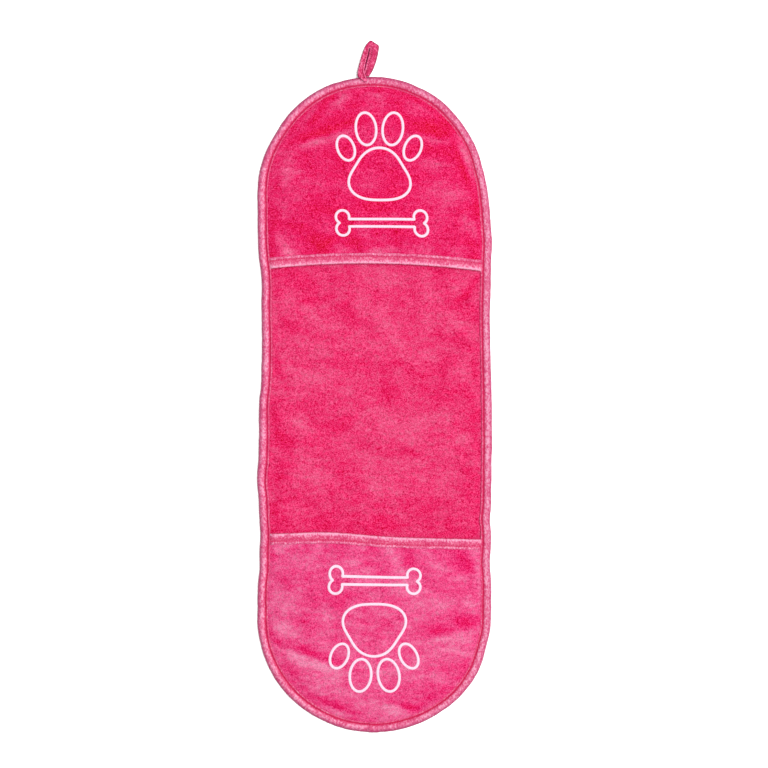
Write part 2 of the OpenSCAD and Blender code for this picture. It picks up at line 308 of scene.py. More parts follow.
def settle(name, points, faces, loose, limit):
    """Gives a cloth a little spare length and lets it buckle into soft wrinkles by simulation.

    loose is 0 where the cloth is sewn down and 1 where it lies free. Broad swelling is taken out
    again, so that only the wrinkles are left, no higher than limit.
    """
    start = points.copy()
    start[:, 2] += 0.3 * MM * noise_at(points, 0.02, 3.7) * loose
    obj = make_object(name + "_settling", start * SETTLE_SCALE, faces)
    group = obj.vertex_groups.new(name="hold")
    for i, freedom in enumerate(loose):
        held = 0.05 if freedom > 0.02 else 1.0
        group.add([i], held, "REPLACE")
    cloth = obj.modifiers.new("cloth", "CLOTH")
    cloth.settings.quality = 5
    cloth.settings.mass = 0.4
    cloth.settings.tension_stiffness = 20
    cloth.settings.compression_stiffness = 20
    cloth.settings.shear_stiffness = 10
    cloth.settings.bending_stiffness = 30
    cloth.settings.pin_stiffness = 1
    cloth.settings.vertex_group_mass = "hold"
    cloth.settings.shrink_min = -0.006
    cloth.settings.effector_weights.gravity = 0
    cloth.collision_settings.use_collision = False
    cloth.point_cache.frame_end = SETTLE_FRAMES
    for number in range(1, SETTLE_FRAMES + 1):
        bpy.context.scene.frame_set(number)
    shape = obj.evaluated_get(bpy.context.evaluated_depsgraph_get()).data
    settled = np.array([tuple(v.co) for v in shape.vertices]) / SETTLE_SCALE
    bpy.context.scene.frame_set(1)
    bpy.data.objects.remove(obj)
    moved = smoothed(settled - points, faces, 3)
    moved -= smoothed(moved, faces, 120)
    moved *= loose[:, None]
    far = np.linalg.norm(moved, axis=1, keepdims=True)
    return points + moved * limit * np.tanh(far / limit) / np.maximum(far, 1e-9)


def thick_cloth(name, top, bottom, faces, loose):
    """A closed cloth with a top and a bottom face and a wall between their edges.

    Where it is loose, a painted light and shade of its wrinkles, paler where they face the light,
    is stored for the plush's colour, and so are the painted streaks over it: brushed nap, and
    light and shade along its creases.
    """
    n = len(top)
    sides = [(face[i], face[(i + 1) % len(face)]) for face in faces for i in range(len(face))]
    both_ways = set(sides)
    border = [(a, b) for a, b in sides if (b, a) not in both_ways]
    under = [tuple(n + i for i in reversed(face)) for face in faces]
    walls = [(b, a, n + a, n + b) for a, b in border]
    obj = make_object(name, np.vstack([top, bottom]), faces + under + walls)
    rim = {frozenset((a + k, b + k)) for a, b in border for k in (0, n)}
    for edge in obj.data.edges:
        edge.use_edge_sharp = frozenset(edge.vertices) in rim
    # How each wrinkle faces the light: painted light and shade for the plush's colour
    slope_shade = np.array([v.normal @ LIGHT_SIDE for v in obj.data.vertices[:n]])[:, None]
    slope_shade = (slope_shade - smoothed(slope_shade, faces, 80))[:, 0] * loose
    # Painted streaks: brushed nap, and light and shade painted along creases
    nap_and_crease_shade = 0.01 * streaks(top[:, :2], NAP_AND_CREASE_SHADE)
    mark(obj, "painted_slope_shade", np.concatenate([slope_shade, np.zeros(n)]))
    mark(obj, "nap_and_crease_shade", np.concatenate([nap_and_crease_shade, np.zeros(n)]))
    return obj


def under_pocket(plan):
    """1 under a pocket and 0 in the open middle."""
    fade = 0.012
    return np.maximum(smoothstep(-fade, 0, plan[:, 1] - MOUTH_Y[1]),
                      smoothstep(-fade, 0, -plan[:, 1] - MOUTH_Y[-1]))


def back_cloth():
    plan, faces = net(outline(None))
    inset = edge_distance(plan[:, 0], plan[:, 1]) - BINDING_W
    covered = under_pocket(plan)
    pinch = 0.7 * MM * (1 - smoothstep(0, 8 * MM, inset)) * (1 - covered)
    pinch += 1.3 * MM * (1 - smoothstep(0, 30 * MM, inset)) * covered
    top = np.column_stack([plan, CLOTH_TOP - pinch])
    open_part = (1 - covered) * smoothstep(0, 9 * MM, inset)
    top = settle("back_cloth", top, faces, open_part, BACK_WRINKLE)
    top[:, 2] += MM * streaks(plan, BACK_CREASES) * open_part
    top[:, 2] += 0.25 * MM * noise_at(plan, 0.030, 1.3) * open_part
    bottom = np.column_stack([plan, 0.2 * MM + 0.7 * MM * (1 - smoothstep(0, 5 * MM, inset))])
    return thick_cloth("back_cloth", laid(top), laid(bottom), faces, open_part)


def pocket_profile(plan, end):
    """The height of a pocket's top face, and its thickness, before it wrinkles."""
    inset = SEAM_R - (HALF_W - edge_distance(plan[:, 0], plan[:, 1]))
    shoulder = 1 - np.exp(-inset / (4 * MM))
    swell = 1 - (1 - np.clip(inset / SEAM_R, 0, 1)) ** 2
    near_mouth = 1 - smoothstep(0, 0.055, plan[:, 1] - MOUTH_Y[end])
    height = CLOTH_TOP + 0.2 * MM + 2.5 * MM * shoulder
    height += swell * (POCKET_PUFF - MOUTH_DROOP * near_mouth)
    return height, RIM_T + (PLUSH_T - RIM_T) * shoulder


def pocket_cloth(end):
    """A pocket's cloth, with the tree that finds its top face again and its points in the plan."""
    mouth_y = MOUTH_Y[end]
    plan, faces = net(outline(mouth_y + 1 * MM))
    height, thickness = pocket_profile(plan, end)
    inset = edge_distance(plan[:, 0], plan[:, 1]) - BINDING_W
    loose = smoothstep(0, 6 * MM, inset) * smoothstep(0, 14 * MM, plan[:, 1] - mouth_y)
    top = np.column_stack([plan, height])
    top = settle(f"{END_NAME[end]}_pocket", top, faces, loose, POCKET_WRINKLE)
    top[:, 2] += MM * streaks(plan, POCKET_CREASES[end]) * loose
    top[:, 2] += 0.3 * MM * noise_at(plan, 0.026, 5.1 * end) * loose
    tree = BVHTree.FromPolygons([tuple(p) for p in top], faces)
    bottom = top - np.column_stack([np.zeros((len(plan), 2)), thickness])
    name = f"{END_NAME[end]}_pocket_cloth"
    obj = thick_cloth(name, pocket_laid(top, end), pocket_laid(bottom, end), faces, loose)
    return obj, tree, np.vstack([plan, plan])


def height_on(tree, x, y):
    """The height of a pocket's top face at a point of the plan."""
    hit = tree.ray_cast(Vector((x, y, 0.1)), Vector((0, 0, -1)))[0]
    return hit.z if hit else tree.find_nearest(Vector((x, y, CLOTH_TOP)))[0].z


# ---- Swept tapes and threads ----

def sweep_faces(stations, ring, closed):
    """Faces of a sweep: stations along it, each with a closed ring of points."""
    faces = []
    for i in range(stations if closed else stations - 1):
        a, b = i * ring, ((i + 1) % stations) * ring
        faces += [(a + j, b + j, b + (j + 1) % ring, a + (j + 1) % ring) for j in range(ring)]
    if not closed:
        faces.append(tuple(range(ring)))
        faces.append(tuple((stations - 1) * ring + j for j in reversed(range(ring))))
    return faces


def rim_stations():
    """Stations round the towel's edge from the lower tip: centre height, direction, distance."""
    quarter, side = math.pi / 2 * HALF_W, 2 * ARC_Y
    total = 4 * quarter + 2 * side
    count = round(total / TAPE_STEP)
    s = np.arange(count) * total / count
    first = np.clip(s, 0, quarter) / HALF_W - math.pi / 2
    second = np.clip(s - quarter - side, 0, 2 * quarter) / HALF_W
    third = np.clip(s - 3 * quarter - 2 * side, 0, quarter) / HALF_W
    angle = first + second + third
    up = np.clip(s - quarter, 0, side) - np.clip(s - 3 * quarter - side, 0, side) - ARC_Y
    return up, angle, s


# The edge's folded tape in section: distance from its outer edge and height, in millimetres. It
# runs over the roll, down into the stitched groove and over the narrow lip, then back inside.
GROOVE = 9.8                    # the groove's distance from the outer edge, in millimetres
TAPE_TOP = [
    (0.0, 1.8), (0.3, 3.1), (1.1, 4.4), (2.4, 5.4), (4.0, 5.9), (5.8, 5.8), (7.4, 5.2), (8.8, 4.3),
    (9.5, 3.5), (9.8, 3.3), (10.1, 3.5), (10.6, 4.3), (11.2, 4.75), (11.8, 4.75), (12.4, 4.45),
    (12.7, 4.0), (12.8, 3.6),
]
TAPE_INSIDE = [
    (12.4, 3.4), (11.1, 3.2), (9.8, 2.8), (8.2, 3.2), (3.0, 3.9), (1.6, 2.4), (3.0, 0.9),
    (8.0, 0.75), (12.4, 0.75),
]
TAPE_UNDER = [
    (12.8, 0.5), (12.4, 0.15), (10.8, 0.08), (10.1, 0.35), (9.8, 0.5), (9.5, 0.35), (8.8, 0.08),
    (4.0, 0.05), (1.6, 0.2), (0.5, 0.8),
]
TAPE_ROWS = TAPE_TOP + TAPE_INSIDE + TAPE_UNDER


def groove_shade_crest_light(inset):
    """Painted shade in a tape's stitched groove; a little darker on its lip too.

    Below 0 it is a painted highlight instead, along the crest of its roll.
    """
    flat = max(bump(inset, GROOVE, 1.0), 0.3 * smoothstep(10.3, 10.8, inset))
    return flat - 0.35 * bump(inset, 5.2, 2.0)


def turned(inset):
    """How dark a tape is painted at its outer edge, where it turns down: a painted shade."""
    return 0.64 * bump(inset, 0, 3.9)


def mark_rim(obj, insets, angle):
    """Stores the edge tape's painted shade and highlight, and its outer edge's painted shade.

    Round the towel's ends its painted highlight is weaker and its outer edge's painted shade
    stronger, and the outer edge is painted darker on the left side than on the right.
    """
    round_end = np.sin(angle) ** 2
    section = np.array([groove_shade_crest_light(inset) for inset in insets])
    crest = np.outer(1.15 - 0.6 * round_end, np.minimum(section, 0))
    mark(obj, "groove_shade_crest_light", (crest + np.maximum(section, 0)).ravel())
    outer_edge = np.array([turned(inset) for inset in insets])
    mark(obj, "turned", np.outer(0.95 - 0.1 * np.cos(angle) + 0.4 * round_end, outer_edge).ravel())


def pucker(s, reach, seed):
    """How the tape rises and falls along its length, between and at the stitches."""
    along = [(value, seed) for value in s]
    pulled = np.abs(np.sin(math.pi * s / STITCH_PITCH)) - 0.6
    return (0.22 * pulled * reach + 0.28 * noise_at(along, 0.009, seed)
            + 0.25 * noise_at(along, 0.030, seed))


EDGE_PUCKER = 2.2               # picks the edge tape's own run of puckers


def seam_wander(s):
    """How far the edge's row of stitches strays across the tape, in millimetres."""
    return 0.6 * noise_along(s, 0.040, 1.7)


def edge_binding():
    up, angle, s = rim_stations()
    sway = 0.5 * noise_along(s, 0.022, 3.3) + 0.3 * noise_along(s, 0.009, 9.9)
    rings = []
    for k, (inset, height) in enumerate(TAPE_ROWS):
        over = smoothstep(3.0, 4.2, height) * (k < len(TAPE_TOP))
        puff = over * pucker(s, bump(inset, GROOVE, 3.5), EDGE_PUCKER)
        lip = smoothstep(10.5, 12, inset) * 0.5 * noise_along(s, 0.012, 6.6)
        seam = bump(inset, GROOVE, 2.5) * seam_wander(s)
        radius = HALF_W - (inset + lip + seam + sway * (1 - smoothstep(6, 12, inset))) * MM
        x = radius * np.cos(angle)
        y = up + radius * np.sin(angle)
        rings.append(np.column_stack([x, y, (height + puff) * MM]))
    points = np.stack(rings, axis=1).reshape(-1, 3)
    obj = make_object("edge_binding", laid(points), sweep_faces(len(s), len(rings), True))
    mark_rim(obj, [inset for inset, _ in TAPE_ROWS], angle)
    return obj


def thread_runs(name, paths, pitch, length):
    """Rows of stitches along paths of points: each stitch dips into the cloth at both its ends.

    Each path comes with 1, or with -1 for a row on the underside.
    """
    points, faces = [], []
    for path, up in paths:
        step = np.linalg.norm(np.diff(path, axis=0), axis=1)
        s = np.concatenate([[0], np.cumsum(step)])
        for k in range(round(s[-1] / pitch)):
            base = len(points)
            for t in (-0.5, -0.32, 0, 0.32, 0.5):
                at = min((k + 0.5) * pitch + t * length, s[-1] - 0.1 * MM)
                here, ahead = (np.array([np.interp(v, s, path[:, i]) for i in range(3)])
                               for v in (at, at + 0.1 * MM))
                side = np.array([here[1] - ahead[1], ahead[0] - here[0], 0])
                side /= np.linalg.norm(side)
                thick = THREAD_R * (1 - 1.8 * t * t)
                lift = up * THREAD_R * (0.5 - 5 * t * t)
                for a in np.radians(range(0, 360, 60)):
                    raised = (0, 0, thick * math.sin(a) + lift)
                    points.append(here + thick * math.cos(a) * side + raised)
            faces += [tuple(base + f for f in face) for face in sweep_faces(5, 6, False)]
    return make_object(name, points, faces)


def edge_stitching():
    up, angle, s = rim_stations()
    radius = HALF_W - GROOVE * MM - seam_wander(s) * MM
    above = 3.6 * MM + pucker(s, 1, EDGE_PUCKER) * MM
    below = np.full(len(s), 0.62 * MM)
    rows = []
    for height, side in ((above, 1), (below, -1)):
        path = laid(np.column_stack([radius * np.cos(angle), up + radius * np.sin(angle), height]))
        rows.append((np.vstack([path, path[:1]]), side))
    return thread_runs("edge_stitching", rows, STITCH_PITCH, STITCH_L)


def binding_join():
    """The end of the binding's tape, lapped over its start at the towel's lower tip."""
    rings = []
    over = [(inset, height + 0.55) for inset, height in TAPE_TOP]
    under = [(inset, height - 0.1) for inset, height in reversed(TAPE_TOP)]
    angle = np.linspace(-6.5, 6.0, 14) * MM / HALF_W - math.pi / 2
    for inset, height in over + under:
        radius = HALF_W + 0.3 * MM - inset * MM
        rings.append(np.column_stack([radius * np.cos(angle), radius * np.sin(angle) - ARC_Y,
                                      np.full(len(angle), height * MM)]))
    points = np.stack(rings, axis=1).reshape(-1, 3)
    obj = make_object("binding_join_tape", laid(points), sweep_faces(len(angle), len(rings), False))
    mark_rim(obj, [inset for inset, _ in over + under], angle)
    return obj


# The mouth's tape in section: distance from the mouth's edge and height over the cloth's face, in
# millimetres
MOUTH_GROOVE = 8.8              # the stitched groove's distance from the mouth's edge
MOUTH_PUCKER = 4.4              # picks the mouth tapes' own runs of puckers
MOUTH_OVER = [
    (0.1, 0.3), (0.3, 1.0), (0.8, 1.6), (1.6, 1.9), (2.6, 1.7), (3.8, 1.3), (5.2, 1.0), (6.8, 0.9),
    (7.8, 0.6), (8.5, 0.0), (8.8, -0.1), (9.1, 0.0), (9.8, 0.7), (10.7, 1.15), (11.6, 1.05),
    (12.4, 0.6), (12.8, 0.1),
]
MOUTH_INNER = [(12.4, -0.2), (8.8, -0.5), (1.4, -0.2)]
MOUTH_BELOW = [(12.2, -0.7), (8.0, -0.7), (3.0, -0.75), (1.0, -0.6)]


def mouth_binding(end, tree):
    """The folded tape over a pocket's mouth, with its points' places in the plan."""
    half = HALF_W - BINDING_W + 1.0 * MM
    xs = np.linspace(-half, half, round(2 * half / TAPE_STEP))
    mouth_y = MOUTH_Y[end]
    thick = pocket_profile(np.column_stack([xs, np.full(len(xs), mouth_y + 4 * MM)]), end)[1]
    tucked = 1 - 0.6 * smoothstep(half - 4 * MM, half, np.abs(xs))
    rings = []
    for rows, drop, shape in ((MOUTH_OVER, 0, 1), (MOUTH_INNER, 0, 0), (MOUTH_BELOW, thick, 0)):
        for along, lift in rows:
            y = mouth_y + along * MM
            cloth = np.array([height_on(tree, x, max(y, mouth_y + 1.2 * MM)) for x in xs])
            puff = shape * pucker(xs + half, bump(along, MOUTH_GROOVE, 3.5), MOUTH_PUCKER + end)
            wander = smoothstep(9, 13, along) * 0.4 * MM * noise_along(xs, 0.014, 8.8)
            z = cloth - drop + (lift + puff) * MM * tucked
            rings.append(np.column_stack([xs, y + wander, z]))
    rings.append((rings[0] + rings[-1]) / 2)
    rings[-1][:, 1] = mouth_y
    points = np.stack(rings, axis=1).reshape(-1, 3)
    obj = make_object(f"{END_NAME[end]}_mouth_tape", pocket_laid(points, end),
                      sweep_faces(len(xs), len(rings), False))
    # Painted shade in the groove and the band behind the roll, a painted highlight on its crest
    section = np.zeros(len(rings))
    for k, (along, _) in enumerate(MOUTH_OVER):
        flat = max(bump(along, MOUTH_GROOVE, 0.7), 0.35 * bump(along, 6.4, 1.6))
        section[k] = flat - bump(along, 1.4, 1.3)
    mark(obj, "groove_shade_crest_light", np.tile(section, len(xs)))
    return obj, points


def mouth_stitching(end, tree):
    half = HALF_W - BINDING_W - 1 * MM
    xs = np.arange(-half, half, TAPE_STEP)
    y = MOUTH_Y[end] + MOUTH_GROOVE * MM
    puff = pucker(xs + half + 2 * MM, 1, MOUTH_PUCKER + end) * MM
    cloth = np.array([height_on(tree, x, y) for x in xs])
    path = np.column_stack([xs, np.full(len(xs), y), cloth + 0.15 * MM + puff])
    name = f"{END_NAME[end]}_mouth_stitches"
    return thread_runs(name, [(pocket_laid(path, end), 1)], STITCH_PITCH, STITCH_L)


# ---- Embroidery ----

LINE_W = 3.5 * MM
RIB_PITCH = 0.5 * MM
PAD_R = 33 * MM
PAD_SINK = 2.4 * MM             # from the middle of the pad's box to the centre of its curve
PAD_DROP = 25 * MM              # from there up to the paw's own centre
# Each right toe: across and up from the paw's centre, half width and half height in millimetres,
# and turn in degrees
TOES = [(16.5, 32, 12.5, 19.5, 7), (41, 9, 10, 15.5, 25)]
LOBE_R = 7.9 * MM               # a bone's end has two round lobes
LOBE_Y = 7.0 * MM               # this far to each side of its middle
BAR_H = 4.4 * MM                # half the height of its bar
ARC_STEP = 4                    # degrees


def arc_points(cx, cy, r, start, stop):
    """Points along an arc, with its angles in degrees."""
    count = max(2, round(abs(stop - start) / ARC_STEP))
    angles = np.radians(np.linspace(start, stop, count))
    return np.column_stack([cx + r * np.cos(angles), cy + r * np.sin(angles)])


def pad_path(middle):
    a = np.radians(np.arange(0, 360, 3))
    r = PAD_R * (1 + 0.1 * np.cos(3 * (a - math.pi / 2)) - 0.03 * np.cos(2 * a))
    return np.column_stack([middle[0] + 1.12 * r * np.cos(a), middle[1] + 0.92 * r * np.sin(a)])


def toe_path(middle, toe, side):
    across, up, half_w, half_h, turn = toe
    a = np.radians(np.arange(0, 360, 6))
    flat = np.column_stack([half_w * np.cos(a), half_h * np.sin(a)]) * MM
    t = math.radians(-side * turn)
    tilted = flat @ np.array([[math.cos(t), math.sin(t)], [-math.sin(t), math.cos(t)]])
    return tilted + np.array([middle[0] + side * across * MM, middle[1] + up * MM])


def bone_path(middle, half_l):
    """Round the bone: each end has two lobes that meet in a notch, joined by a straight bar."""
    lobe_x = half_l - LOBE_R - LINE_W / 2
    bar_angle = math.degrees(math.asin((BAR_H - LOBE_Y) / LOBE_R))
    notch_angle = math.degrees(math.asin(-LOBE_Y / LOBE_R))
    upper = arc_points(lobe_x, LOBE_Y, LOBE_R, 180 - bar_angle, notch_angle)
    right = np.vstack([upper, upper[::-1] * (1, -1)])
    return np.vstack([right, -right]) + middle


def spaced(path, pitch):
    """A closed path of points, spaced evenly about pitch apart."""
    ring = np.vstack([path, path[:1]])
    s = np.concatenate([[0], np.cumsum(np.linalg.norm(np.diff(ring, axis=0), axis=1))])
    at = np.linspace(0, s[-1], 2 * round(s[-1] / pitch / 2), endpoint=False)
    return np.column_stack([np.interp(at, s, ring[:, i]) for i in (0, 1)])


def satin_line(name, paths, end, tree):
    """Raised satin stitch along closed paths on a pocket, with its points' places in the plan.

    The line is a rounded ridge whose every other rib stands lower.
    """
    points, faces = [], []
    for path in paths:
        middle = spaced(path, RIB_PITCH)
        ahead = np.roll(middle, -1, axis=0) - np.roll(middle, 1, axis=0)
        side = np.column_stack([-ahead[:, 1], ahead[:, 0]]) / np.linalg.norm(ahead, axis=1)[:, None]
        base = len(points)
        for i, (m, d) in enumerate(zip(middle, side)):
            z = height_on(tree, m[0], m[1])
            wide = LINE_W / 2 * (1 + 0.10 * math.sin(i * 2.4) * math.sin(i * 0.31))
            tall = (0.95 if i % 2 else 0.72) * MM
            for a in np.radians(range(0, 181, 30)):
                at = m + d * wide * math.cos(a)
                points.append((at[0], at[1], z - 0.25 * MM + tall * math.sin(a)))
            points.append((m[0], m[1], z - 0.6 * MM))
        faces += [tuple(base + f for f in face) for face in sweep_faces(len(middle), 8, True)]
    points = np.array(points)
    return make_object(name, pocket_laid(points, end), faces), points


def plan_box(node, end):
    """The middle and the half width of a node's box, as if at the upper end."""
    low, high = (np.array(corner[:2]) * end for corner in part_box(node))
    return (low + high) / 2, abs(high - low) / 2


def embroidery(end, tree):
    """A paw's pad and toes, and below them a bone, outlined on a pocket."""
    name = END_NAME[end]
    pad_middle = plan_box(f"{name}_paw_pad", end)[0] + (0, PAD_SINK)
    paw = pad_middle + (0, PAD_DROP)
    bone_middle, bone_half = plan_box(f"{name}_bone", end)
    shapes = {
        "paw_pad": [pad_path(pad_middle)],
        "paw_toes": [toe_path(paw, toe, side) for toe in TOES for side in (-1, 1)],
        "bone": [bone_path(bone_middle, bone_half[0])],
    }
    return {part: satin_line(f"{name}_{part}_line", paths, end, tree)
            for part, paths in shapes.items()}


# ---- Hanging loop ----

# The loop's tape from its sewn end, up, round the tip and down again: its outer and its inner edge
# from the hinge, and how far it is tucked down, in millimetres
LOOP_ROWS = [
    ((0.6, -10.4), (4.2, -10.2), 0), ((-2.6, -7.8), (4.2, -6.8), 0), ((-6.4, -4.8), (3.4, -3.4), 0),
    ((-7.5, -2.2), (2.5, -0.6), 0), ((-7.3, 1.0), (1.6, 1.6), 0), ((-6.9, 3.6), (1.5, 4.4), 0),
    ((-5.3, 10.5), (2.5, 10.5), 0), ((-3.4, 17.5), (3.9, 16.5), 0), ((-1.4, 24.5), (5.5, 22.5), 0),
    ((0.6, 30.0), (6.3, 27.0), 0), ((3.2, 35.0), (6.7, 29.2), 0), ((8.4, 41.0), (7.0, 30.0), 0),
    ((13.4, 37.2), (7.3, 30.0), 0), ((19.0, 34.0), (7.6, 29.0), 0), ((18.5, 29.0), (6.9, 27.0), 0),
    ((17.2, 22.0), (5.8, 21.5), 0), ((15.8, 15.9), (4.2, 15.5), 0), ((13.8, 9.8), (2.7, 10.0), 0),
    ((11.4, 3.8), (1.6, 5.0), 0.2), ((8.6, -1.0), (0.8, 1.2), 0.9), ((6.4, -4.0), (-0.6, -2.6), 1.7),
]
# The tape's section: share of the way from its outer to its inner edge, and height in millimetres
LOOP_SECTION = [
    (0, 0), (0.03, 0.45), (0.1, 0.8), (0.25, 0.9), (0.45, 0.75), (0.6, 0.9), (0.72, 0.5), (0.82, 0.9),
    (0.92, 0.75), (0.965, 0.4), (0.99, -0.1), (1.03, -0.6), (0.9, -0.75), (0.3, -0.75), (0.05, -0.6),
]
LOOP_SEAM = 0.72                # its stitching runs this share of the way in
LOOP_STEP = 0.8 * MM            # spacing of the sections along it
LOOP_PUCKER = 7.1               # picks its own run of puckers


def loop_stations():
    """The loop at even steps along it, with soft corners.

    Gives the outer edge, the inner edge, the tuck and the distance along the loop.
    """
    rows = np.array([(*outer, *inner, tuck) for outer, inner, tuck in LOOP_ROWS]) * MM
    middle = (rows[:, :2] + rows[:, 2:4]) / 2
    s = np.concatenate([[0], np.cumsum(np.linalg.norm(np.diff(middle, axis=0), axis=1))])
    at = np.linspace(0, s[-1], round(s[-1] / LOOP_STEP))
    even = np.column_stack([np.interp(at, s, rows[:, i]) for i in range(5)])
    for _ in range(3):
        even[1:-1] = (even[:-2] + 2 * even[1:-1] + even[2:]) / 4
    return even[:, :2], even[:, 2:4], even[:, 4], np.arange(len(even)) * LOOP_STEP


def loop_height(y, tuck):
    """The tape's middle height: it slopes from over the binding's roll down to the surface."""
    return HINGE.z - 0.1 * y - tuck


def loop_tape():
    outer, inner, tuck, s = loop_stations()
    rings = []
    for share, height in LOOP_SECTION:
        flat = outer * (1 - share) + inner * share
        puff = pucker(s, bump(share, LOOP_SEAM, 0.2), LOOP_PUCKER) * (height > 0.3)
        z = loop_height(flat[:, 1], tuck) + (height + puff) * MM
        rings.append(np.column_stack([flat + (HINGE.x, HINGE.y), z]))
    points = np.stack(rings, axis=1).reshape(-1, 3)
    obj = make_object("loop_tape", points, sweep_faces(len(outer), len(rings), False))
    # Painted shade on its stitch row and at both edges, a painted highlight near its inner edge
    seam, edges = [], []
    for share, height in LOOP_SECTION:
        seam.append(bump(share, LOOP_SEAM, 0.07) * (height > 0) - 0.8 * bump(share, 0.87, 0.07))
        edges.append(max(bump(share, 0, 0.11), bump(share, 1, 0.06)))
    mark(obj, "groove_shade_crest_light", np.tile(seam, len(outer)))
    mark(obj, "turned", np.tile(edges, len(outer)))
    return obj


def loop_stitching():
    outer, inner, tuck, s = loop_stations()
    flat = outer * (1 - LOOP_SEAM) + inner * LOOP_SEAM
    z = loop_height(flat[:, 1], tuck) + (0.55 + pucker(s, 1, LOOP_PUCKER)) * MM
    path = np.column_stack([flat + (HINGE.x, HINGE.y), z])
    free = path[flat[:, 1] > 4 * MM]
    return thread_runs("loop_stitches", [(free, 1)], STITCH_PITCH * 0.8, STITCH_L * 0.8)


def loop_bartack():
    """The close row of threads that holds the loop's end down."""
    thread_l = 5.2 * MM
    paths = []
    for k in range(7):
        y = (-9.6 + 0.45 * k) * MM
        z = loop_height(y, 0) + 0.9 * MM
        path = [(HINGE.x + x * MM, HINGE.y + y, z) for x in (-0.6, 2, 4.6)]
        paths.append((np.array(path), 1))
    return thread_runs("loop_bartack_threads", paths, thread_l, thread_l)


# ---- Materials ----

LIGHT_LEVEL = 1.60              # how brightly the lamp and the sky light a level white surface


def seen(red, green, blue):
    """The shader colour that shows as this 0 to 255 screen colour where the light falls squarely."""
    linear = [((c / 255 + 0.055) / 1.055) ** 2.4 for c in (red, green, blue)]
    return tuple(c / LIGHT_LEVEL for c in linear) + (1,)


def add(tree, kind, inputs, **settings):
    """Adds a shader node. Each input is a value or another node's output."""
    made = tree.nodes.new(kind)
    for key, value in settings.items():
        setattr(made, key, value)
    for key, value in inputs.items():
        if isinstance(value, bpy.types.NodeSocket):
            tree.links.new(value, made.inputs[key])
        else:
            made.inputs[key].default_value = value
    return made


def cloud(tree, where, scale, detail=2):
    """Noise, about 0 to 1, with features about 1 / scale metres across."""
    inputs = {"Vector": where, "Scale": scale, "Detail": detail}
    return add(tree, "ShaderNodeTexNoise", inputs).outputs[0]


def maths(tree, operation, *values):
    """Arithmetic on values or other nodes' outputs."""
    return add(tree, "ShaderNodeMath", dict(enumerate(values)), operation=operation).outputs[0]


def weighed(tree, parts):
    """Adds up noises by weight round a middle of one half."""
    total = 0.5 - sum(weight for _, weight in parts) / 2
    for value, weight in parts:
        total = maths(tree, "MULTIPLY_ADD", value, weight, total)
    return total


def ramp(tree, value, stops):
    """Turns a value into a colour between stops of (place, colour)."""
    made = add(tree, "ShaderNodeValToRGB", {0: value})
    made.color_ramp.elements.remove(made.color_ramp.elements[0])
    made.color_ramp.elements[0].position, made.color_ramp.elements[0].color = stops[0]
    for place, colour in stops[1:]:
        made.color_ramp.elements.new(place).color = colour
    return made.outputs[0]


def bumped(tree, height, distance, strength, under=None):
    """Relief of this height, on top of the relief under it if there is any."""
    inputs = {"Height": height, "Distance": distance, "Strength": strength}
    if under:
        inputs["Normal"] = under
    return add(tree, "ShaderNodeBump", inputs).outputs[0]


def read_mark(tree, name):
    return add(tree, "ShaderNodeAttribute", {}, attribute_name=name).outputs["Fac"]


def new_material(name, roughness, sheen, gloss):
    made = bpy.data.materials.new(name)
    made.use_nodes = True
    shader = made.node_tree.nodes["Principled BSDF"]
    shader.inputs["Roughness"].default_value = roughness
    shader.inputs["Specular IOR Level"].default_value = gloss
    shader.inputs["Sheen Weight"].default_value = sheen
    shader.inputs["Sheen Roughness"].default_value = 0.5
    shader.inputs["Sheen Tint"].default_value = (1, 0.3, 0.5, 1)
    return made, made.node_tree, shader


def stretched(tree, turn=0, scale=(1, 1, 1)):
    """Object coordinates turned about Z and scaled, for a pattern with a direction."""
    where = add(tree, "ShaderNodeTexCoord", {}).outputs["Object"]
    inputs = {"Vector": where, "Rotation": (0, 0, math.radians(turn)), "Scale": scale}
    return add(tree, "ShaderNodeMapping", inputs).outputs[0]


def grained(tree, colour, hairs, tint):
    """Adds single pale and dark hairs to a colour."""
    inputs = {0: maths(tree, "SUBTRACT", hairs, 0.5), 1: tint, 2: colour}
    return add(tree, "ShaderNodeVectorMath", inputs, operation="MULTIPLY_ADD").outputs[0]


def plush(name, lift, slope_shade, blue, mottle):
    """Short brushed plush: broad lighter patches, streaky smudges, tufts and fine hairs, under the
    painted streaks and the painted light and shade of its wrinkles.

    lift makes it paler, the second setting scales the painted light and shade of its wrinkles,
    blue tints it and mottle strengthens its patches.
    """
    made, tree, shader = new_material(name, 0.92, 0.05, 0.05)
    where = stretched(tree)
    patches = cloud(tree, where, 9)
    smudges = cloud(tree, stretched(tree, 25, (0.6, 1.3, 1)), 34)
    flecks = cloud(tree, stretched(tree, -20, (0.6, 1.4, 1)), 110)
    tufts = cloud(tree, where, 280)
    hairs = cloud(tree, where, 760)
    tone = weighed(tree, [(patches, 0.16 * mottle), (smudges, 0.3 * mottle), (flecks, 0.35 * mottle),
                          (tufts, 0.4)])
    # Adds the painted streaks: brushed nap, and light and shade painted along creases
    tone = maths(tree, "ADD", tone, read_mark(tree, "nap_and_crease_shade"))
    tone = maths(tree, "ADD", tone, lift)
    # Painted light and shade: wrinkles that face the light paler, the others darker
    tone = maths(tree, "MULTIPLY_ADD", read_mark(tree, "painted_slope_shade"), slope_shade, tone)
    colour = ramp(tree, tone, [(0.1, seen(219, 0, 66 + blue)), (0.36, seen(222, 8, 84 + blue)),
                               (0.46, seen(224, 34, 96 + blue)), (0.57, seen(225, 58, 110 + blue)),
                               (0.7, seen(227, 83, 127 + blue)), (0.95, seen(231, 132, 160 + blue))])
    colour = grained(tree, colour, hairs, (0.84, 0.14, 0.32))
    tree.links.new(colour, shader.inputs["Base Color"])
    relief = bumped(tree, tufts, 0.5 * MM, 0.4)
    relief = bumped(tree, hairs, 0.2 * MM, 0.6, relief)
    tree.links.new(relief, shader.inputs["Normal"])
    return made


